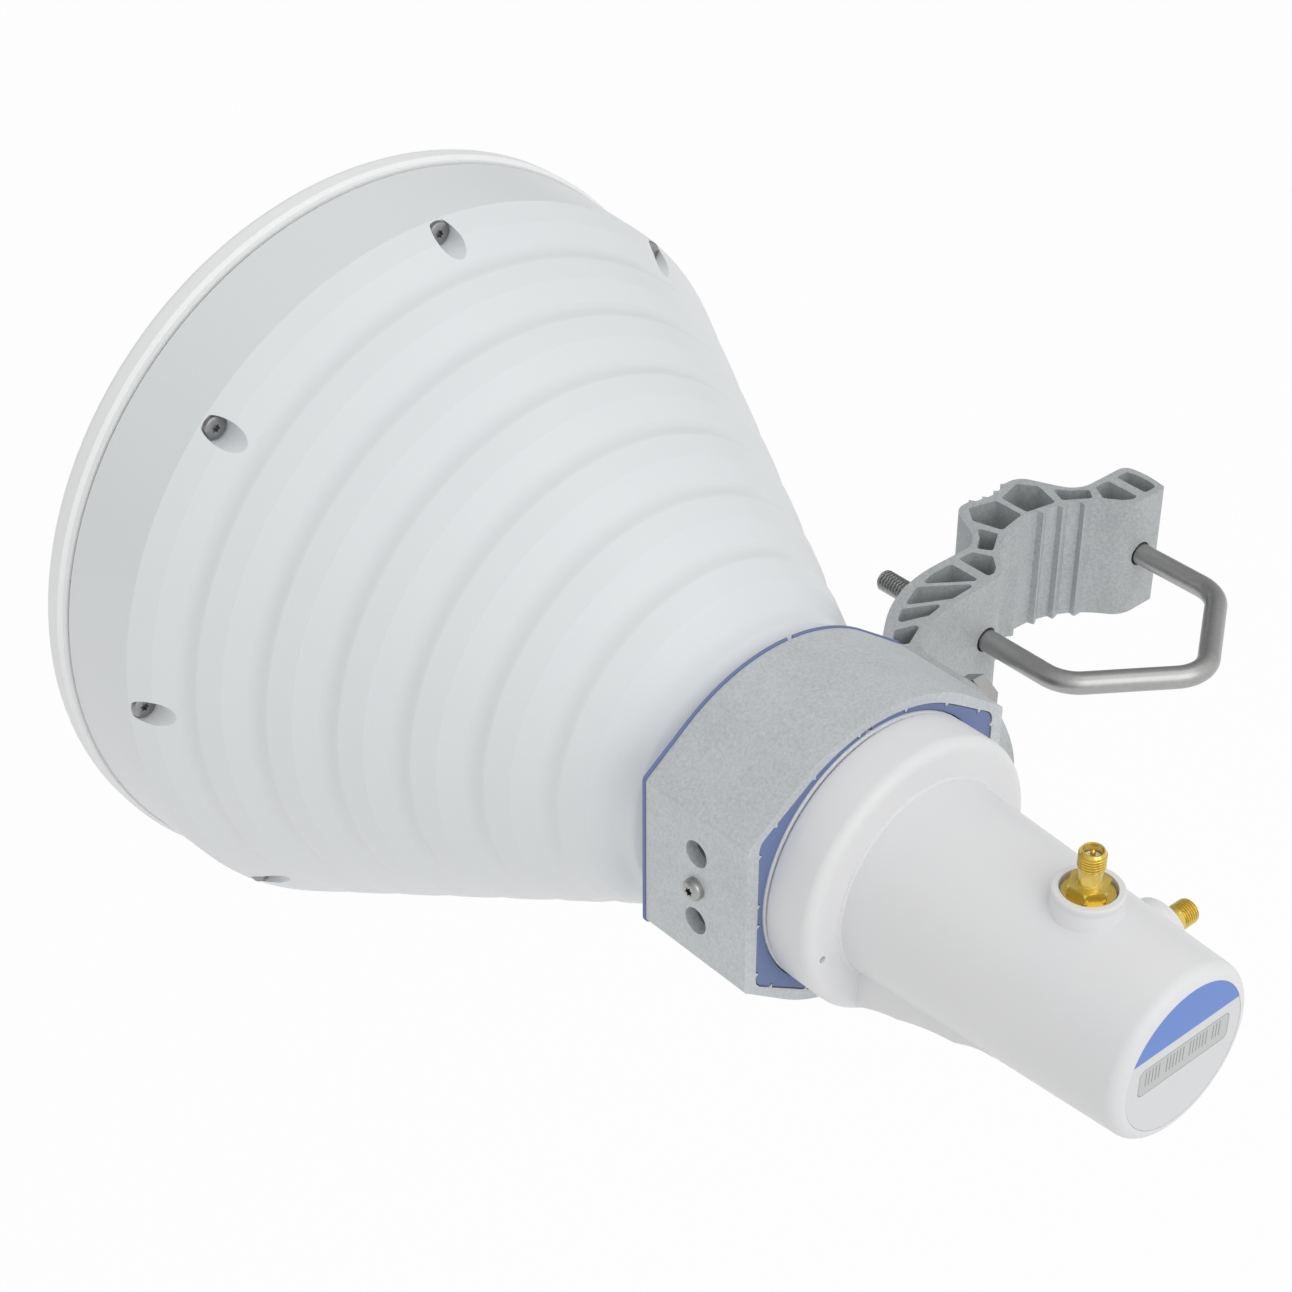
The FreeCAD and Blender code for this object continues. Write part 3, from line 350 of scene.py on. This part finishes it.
# Turned, threaded and bent metal; sizes in millimetres
def skin(name, bodies, closed_ends=False):
    """Smooth mesh of bodies, each through equal rings of points, sharp only at real edges."""
    shape = bmesh.new()
    for rows in bodies:
        rings = [[shape.verts.new(point) for point in row] for row in rows]
        count = len(rings[0])
        for lower, upper in zip(rings, rings[1:]):
            for k in range(count):
                beside = (k + 1) % count
                shape.faces.new((lower[k], lower[beside], upper[beside], upper[k]))
        if closed_ends:
            shape.faces.new(list(reversed(rings[0])))
            shape.faces.new(rings[-1])
    bmesh.ops.recalc_face_normals(shape, faces=shape.faces)
    mesh = bpy.data.meshes.new(name)
    shape.to_mesh(mesh)
    shape.free()
    mesh.shade_smooth()
    mesh.set_sharp_from_angle(angle=math.radians(40.0))
    piece = bpy.data.objects.new(name, mesh)
    bpy.context.scene.collection.objects.link(piece)
    return piece


def thread_wave(turns):
    """Height of a rounded thread, 0 at its root and 1 at its crest, by the number of turns."""
    return min(1.0, max(0.0, 0.5 + 0.75 * math.cos(turns * FULL_TURN)))


def hexagon_reach(flats, angle):
    """Distance from a hexagon's middle to its edge."""
    return flats / 2 / math.cos((angle + math.pi / 6) % (math.pi / 3) - math.pi / 6)


# Coaxial jacks: heights are measured from the horn's axis
JACK_Y = MOUTH_Y - 0.2498
SEAT, HEX_TOP, NECK_TOP, THREAD_TOP, NOSE_TOP = 26.7, 29.5, 33.6, 37.8, 38.4
STUD_RADIUS, HEX_FLATS, HEX_RADIUS, NECK_RADIUS = 3.2, 8.7, 5.02, 2.7
JACK_PITCH, THREAD_ROOT, THREAD_DEPTH, THREAD_STEPS, THREAD_FADE = 0.7056, 2.72, 0.44, 84, 5
NOSE_RADIUS, BORE_RADIUS, BORE_DEPTH = 2.66, 2.2, 2.6
INSULATOR_FOOT, INSULATOR_TOP, INSULATOR_RADIUS, PIN_HOLE = 18.5, 36.5, 2.05, 0.68
PROBE_REACH, PIN_RADIUS = 8.0, 0.65


def round_row(height, radius):
    """One row of a turned outline: its height and its reach at any angle."""
    return height, lambda angle: radius


def hexagon_row(height, limit):
    """Row of the hexagon, its corners turned down to a limit."""
    return height, lambda angle: min(limit, hexagon_reach(HEX_FLATS, angle))


def thread_row(height, fade):
    """Row of the jack's thread, from flat at a fade of 0 to full depth at 1."""
    def reach(angle):
        return THREAD_ROOT + THREAD_DEPTH * fade * thread_wave(height / JACK_PITCH - angle / FULL_TURN)

    return height, reach


def jack_rows():
    """Outline of the jack's body, from its seat over the nose to the foot of its bore."""
    rows = [round_row(SEAT, STUD_RADIUS),
            hexagon_row(SEAT, HEX_RADIUS - 0.32), hexagon_row(SEAT + 0.2, HEX_RADIUS),
            hexagon_row(HEX_TOP - 0.08, HEX_RADIUS), hexagon_row(HEX_TOP, HEX_RADIUS - 0.12),
            hexagon_row(HEX_TOP, HEX_RADIUS - 0.72), round_row(HEX_TOP, NECK_RADIUS + 0.3),
            round_row(HEX_TOP + 0.08, NECK_RADIUS + 0.1), round_row(HEX_TOP + 0.3, NECK_RADIUS),
            round_row(NECK_TOP - 0.1, NECK_RADIUS)]
    for k in range(THREAD_STEPS + 1):
        height = NECK_TOP + (THREAD_TOP - NECK_TOP) * k / THREAD_STEPS
        rows.append(thread_row(height, min(1.0, k / THREAD_FADE, (THREAD_STEPS - k) / THREAD_FADE)))
    rows += [round_row(THREAD_TOP + 0.05, NOSE_RADIUS + 0.32), round_row(NOSE_TOP - 0.1, NOSE_RADIUS),
             round_row(NOSE_TOP, NOSE_RADIUS - 0.1), round_row(NOSE_TOP, BORE_RADIUS + 0.08),
             round_row(NOSE_TOP - 0.06, BORE_RADIUS), round_row(NOSE_TOP - BORE_DEPTH, BORE_RADIUS),
             round_row(NOSE_TOP - BORE_DEPTH, INSULATOR_RADIUS + 0.01)]
    return rows


def insulator_rows():
    """Outline of the insulator, with the hole for the centre pin."""
    return [round_row(INSULATOR_FOOT, PIN_HOLE), round_row(INSULATOR_FOOT, INSULATOR_RADIUS),
            round_row(INSULATOR_TOP - 0.15, INSULATOR_RADIUS),
            round_row(INSULATOR_TOP, INSULATOR_RADIUS - 0.15), round_row(INSULATOR_TOP, PIN_HOLE + 0.15),
            round_row(INSULATOR_TOP - 0.1, PIN_HOLE), round_row(INSULATOR_FOOT, PIN_HOLE)]


def pin_rows():
    """Outline of the centre pin, from the probe's end to the point level with the nose."""
    return [round_row(PROBE_REACH, PIN_RADIUS), round_row(NOSE_TOP - 0.9, PIN_RADIUS),
            round_row(NOSE_TOP - 0.75, PIN_RADIUS - 0.03), round_row(NOSE_TOP - 0.35, 0.4),
            round_row(NOSE_TOP - 0.08, 0.2), round_row(NOSE_TOP, 0.08)]


def turned(name, rows, side, count, finish_name, replaced, closed_ends=False):
    """Piece turned about a jack's axis, on the top or on the side of the adapter."""
    rings = []
    for height, reach in rows:
        ring = []
        for k in range(count):
            angle = FULL_TURN * k / count
            across, along = reach(angle) * math.cos(angle), reach(angle) * math.sin(angle)
            if side == "top":
                offset = Vector((across, along, height))
            else:
                offset = Vector((height, along, -across))
            ring.append(offset * MM + Vector((HORN_AXIS.x, JACK_Y, 0.0)))
        rings.append(ring)
    piece = skin(name, [rings], closed_ends)
    dress(piece, finish_name)
    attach(piece, "adapter")
    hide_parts(replaced)


def make_jack(side):
    """Threaded gold-plated body, white insulator and pointed pin of one jack."""
    turned(side + "_jack_threaded", jack_rows(), side, 96, "gold_plate", side + "_jack_body")
    turned(side + "_jack_insulator_ring", insulator_rows(), side, 48, "white_insulator",
           side + "_jack_insulator")
    turned(side + "_jack_pin_pointed", pin_rows(), side, 32, "gold_plate", side + "_jack_pin",
           closed_ends=True)


# V-bolt: its two legs run along Y, and its bends lie in the plane of the pole's cross-section
LEG_X, LEG_END, CORNER_Y, APEX_Y = 30.7, 50.7, -13.3, -35.0
BEND_RADIUS, BEND_STEPS = 11.0, 16
BOLT_RADIUS, BOLT_PITCH, BOLT_THREAD, BOLT_CUT = 3.0, 1.0, 37.5, 0.55
BOLT_RUN_OUT, BOLT_TIP_RADIUS, BOLT_THREAD_STEP, BOLT_SIDES = 2.0, 2.3, 0.11, 40


def bolt_path():
    """Points along the middle of the V-bolt: one end, its three bends and the other end."""
    corners = [Vector((-LEG_X, LEG_END)), Vector((-LEG_X, CORNER_Y)), Vector((0.0, APEX_Y)),
               Vector((LEG_X, CORNER_Y)), Vector((LEG_X, LEG_END))]
    track = [corners[0]]
    for before, corner, after in zip(corners, corners[1:], corners[2:]):
        to_before = (before - corner).normalized()
        to_after = (after - corner).normalized()
        half = to_before.angle(to_after) / 2
        reach = BEND_RADIUS / math.tan(half)
        middle = corner + (to_before + to_after).normalized() * BEND_RADIUS / math.sin(half)
        start = corner + to_before * reach - middle
        sweep = start.angle_signed(corner + to_after * reach - middle)
        for k in range(BEND_STEPS + 1):
            angle = -sweep * k / BEND_STEPS
            track.append(middle + Vector((start.x * math.cos(angle) - start.y * math.sin(angle),
                                          start.x * math.sin(angle) + start.y * math.cos(angle))))
    track.append(corners[-1])
    return track


def leg_points(before, after):
    """Points along a leg, close enough for its thread; the first end is left out."""
    pieces = round((after - before).length / BOLT_THREAD_STEP)
    return [before.lerp(after, (k + 1) / pieces) for k in range(pieces)]


def bolt_reach(from_end, angle):
    """Radius of the V-bolt at a distance from its end."""
    if from_end >= BOLT_THREAD:
        return BOLT_RADIUS
    fade = min(1.0, (BOLT_THREAD - from_end) / BOLT_RUN_OUT)
    cut = BOLT_CUT * fade * (1.0 - thread_wave(from_end / BOLT_PITCH - angle / FULL_TURN))
    return min(BOLT_RADIUS - cut, BOLT_TIP_RADIUS + from_end)


def make_v_bolt():
    """Bent rod with rolled threads on both legs."""
    track = bolt_path()
    fine = [track[0]] + leg_points(*track[:2]) + track[2:-1] + leg_points(*track[-2:])
    rings = []
    for k, point in enumerate(fine):
        heading = (fine[min(k + 1, len(fine) - 1)] - fine[max(k - 1, 0)]).normalized()
        outward = Vector((heading.y, -heading.x, 0.0))
        ring = []
        for j in range(BOLT_SIDES):
            angle = FULL_TURN * j / BOLT_SIDES
            reach = bolt_reach(LEG_END - point.y, angle)
            ring.append((Vector((point.x, point.y, reach * math.sin(angle)))
                         + outward * reach * math.cos(angle)) * MM)
        rings.append(ring)
    bolt = skin("v_bolt_threaded", [rings], closed_ends=True)
    dress(bolt, "satin_steel")
    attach(bolt, "pole_bolt")
    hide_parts("v_bolt")


# Pan-head screws; a crown is a list of (height over the seat, inset from the head's radius)
CAP_SCREW_COUNT, CAP_SCREW_CIRCLE, CAP_SCREW_SEAT, CAP_SCREW_LENGTH = 8, 98.8, 25.3, 30.0
CAP_SCREW_HEAD, SADDLE_SCREW_HEAD, SADDLE_SCREW_LENGTH = 3.1, 2.85, 5.1
BAND_HALF_WIDTH, PIVOT_BACK = 41.4, 170.0
SHANK_RADIUS, SHANK_TIP_RADIUS, SHANK_TAPER, SCREW_SIDES = 1.5, 1.2, 0.4, 48
SOCKET_FLOOR, SOCKET_ROOT, SOCKET_POINT = 0.3, 0.8, 1.3
FLAT_CROWN = ((0.0, 0.0), (1.1, 0.0), (1.35, 0.1), (1.5, 0.35))
DOMED_CROWN = ((0.0, 0.0), (0.9, 0.0), (1.35, 0.08), (1.75, 0.3), (2.05, 0.7), (2.22, 1.15), (2.3, 1.35))


def socket_reach(angle):
    """Distance from the middle of a six-pointed socket to its edge."""
    return SOCKET_ROOT + (SOCKET_POINT - SOCKET_ROOT) * (1.0 - abs(math.sin(3 * angle)))


def pan_screw_rings(length, head_radius, crown, seat, out):
    """Rings of one screw from its tip to its socket's floor; out is the way that its head faces."""
    across = out.orthogonal().normalized()
    beside = out.cross(across)
    rows = [round_row(-length, SHANK_TIP_RADIUS), round_row(-length + SHANK_TAPER, SHANK_RADIUS),
            round_row(0.0, SHANK_RADIUS)]
    rows += [round_row(height, head_radius - inset) for height, inset in crown]
    rows += [(crown[-1][0], socket_reach), (SOCKET_FLOOR, socket_reach)]
    rings = []
    for height, reach in rows:
        ring = []
        for k in range(SCREW_SIDES):
            angle = FULL_TURN * k / SCREW_SIDES
            ring.append((seat + out * height + across * reach(angle) * math.cos(angle)
                         + beside * reach(angle) * math.sin(angle)) * MM)
        rings.append(ring)
    return rings


def make_screws(name, bodies, finish_name, body, replaced):
    """One piece of alike screws."""
    screws = skin(name, bodies, closed_ends=True)
    dress(screws, finish_name)
    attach(screws, body)
    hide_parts(replaced)


def make_cap_screws():
    """The screws in the casting's pockets, which hold the mouth cover."""
    bodies = []
    for k in range(CAP_SCREW_COUNT):
        angle = FULL_TURN * k / CAP_SCREW_COUNT
        seat = HORN_AXIS / MM + Vector((CAP_SCREW_CIRCLE * math.sin(angle), MOUTH_Y / MM - CAP_SCREW_SEAT,
                                        CAP_SCREW_CIRCLE * math.cos(angle)))
        bodies.append(pan_screw_rings(CAP_SCREW_LENGTH, CAP_SCREW_HEAD, FLAT_CROWN, seat,
                                      Vector((0.0, -1.0, 0.0))))
    make_screws("cap_screws_flat", bodies, "dark_steel", "horn", "cap_screws")


def make_saddle_screws():
    """The screw in the middle of each flat of the band."""
    bodies = []
    for way in (-1.0, 1.0):
        seat = HORN_AXIS / MM + Vector((way * BAND_HALF_WIDTH, MOUTH_Y / MM - PIVOT_BACK, 0.0))
        bodies.append(pan_screw_rings(SADDLE_SCREW_LENGTH, SADDLE_SCREW_HEAD, DOMED_CROWN, seat,
                                      Vector((way, 0.0, 0.0))))
    make_screws("saddle_screws_domed", bodies, "satin_steel", "collar", "saddle_screws")


make_jack("top")
make_jack("side")
make_v_bolt()
make_cap_screws()
make_saddle_screws()

# Floor, surroundings, lamps and camera
FLOOR_Z, FLOOR_HALF_SIZE, FLOOR_WHITE = -0.75, 12.0, 0.95
FILL_LEVEL, MIRROR_LEVEL, MIRROR_DROP = 0.72, 0.68, 0.5
CENTRE = (-0.09, 0.02, 0.0)
LENS, SENSOR = 76.65, 36.0
CAMERA_PLACE = Vector((-0.4813, -0.3699, 0.4112))
YAW, PITCH, ROLL = math.radians(41.0489), math.radians(35.2421), math.radians(-0.085)


def pale_floor():
    """White to the camera and in reflections, and it keeps part of its shading for the shadow."""
    finish = Finish("pale_floor", Roughness=0.8)
    grain = finish.noise(40.0, detail=2.0)
    finish.set(Base_Color=finish.mix(grain, grey(0.86), grey(0.90)))
    seen = finish.node("ShaderNodeLightPath", output="Is Camera Ray")
    mirrored = finish.node("ShaderNodeLightPath", output="Is Glossy Ray")
    passed = finish.node("ShaderNodeLightPath", output="Is Transmission Ray")
    share = ((seen + mirrored + passed) * FLOOR_WHITE).clamped()
    glow = finish.node("ShaderNodeEmission", None, {"Color": grey(1.0), "Strength": 1.0})
    shaded = Value(finish, finish.shader.outputs[0])
    mixed = finish.node("ShaderNodeMixShader", None, {0: share, 1: shaded, 2: glow})
    finish.feed(finish.nodes["Material Output"].inputs["Surface"], mixed)
    return finish.material


def make_floor():
    """Large flat sheet under the antenna."""
    mesh = bpy.data.meshes.new("floor")
    shape = bmesh.new()
    bmesh.ops.create_grid(shape, x_segments=4, y_segments=4, size=FLOOR_HALF_SIZE)
    shape.to_mesh(mesh)
    shape.free()
    floor = bpy.data.objects.new("floor", mesh)
    floor.location = (0.0, 0.0, FLOOR_Z)
    bpy.context.scene.collection.objects.link(floor)
    floor.data.materials.append(pale_floor())


def make_world():
    """Even white surroundings, dimmer in front for reflections; the camera sees plain white."""
    world = bpy.data.worlds.new("studio")
    world.use_nodes = True
    sky = Shading(world.node_tree)
    seen = sky.node("ShaderNodeLightPath", output="Is Camera Ray")
    mirrored = sky.node("ShaderNodeLightPath", output="Is Glossy Ray")
    passed = sky.node("ShaderNodeLightPath", output="Is Transmission Ray")
    ahead = sky.parts(sky.node("ShaderNodeTexCoord", output="Generated"))[1]
    level = sky.between(mirrored, FILL_LEVEL, (MIRROR_LEVEL - ahead * MIRROR_DROP).clamped())
    background = sky.nodes["Background"]
    sky.feed(background.inputs["Color"], grey(1.0))
    sky.feed(background.inputs["Strength"], sky.between((seen + passed).clamped(), level, 1.0))
    bpy.context.scene.world = world


def softbox(name, place, size, power):
    """Square area lamp turned to the antenna."""
    lamp = bpy.data.lights.new(name, "AREA")
    lamp.shape = "SQUARE"
    lamp.size = size
    lamp.energy = power
    holder = bpy.data.objects.new(name, lamp)
    holder.location = place
    holder.rotation_euler = (Vector(CENTRE) - Vector(place)).to_track_quat("-Z", "Y").to_euler()
    bpy.context.scene.collection.objects.link(holder)


def make_camera():
    """The photograph's view."""
    camera_data = bpy.data.cameras.new("camera")
    camera_data.lens = LENS
    camera_data.sensor_width = SENSOR
    camera = bpy.data.objects.new("camera", camera_data)
    forward = Vector((math.sin(YAW) * math.cos(PITCH), math.cos(YAW) * math.cos(PITCH), -math.sin(PITCH)))
    turn = forward.to_track_quat("-Z", "Y").to_matrix() @ Matrix.Rotation(ROLL, 3, "Z")
    camera.matrix_world = Matrix.Translation(CAMERA_PLACE) @ turn.to_4x4()
    bpy.context.scene.collection.objects.link(camera)
    bpy.context.scene.camera = camera


make_floor()
make_world()
softbox("key", (-0.3, -2.1, 1.5), 2.2, 19.5)
softbox("top", (0.6, -0.6, 2.3), 1.2, 4.0)
make_camera()
bpy.context.scene.view_settings.view_transform = "Standard"
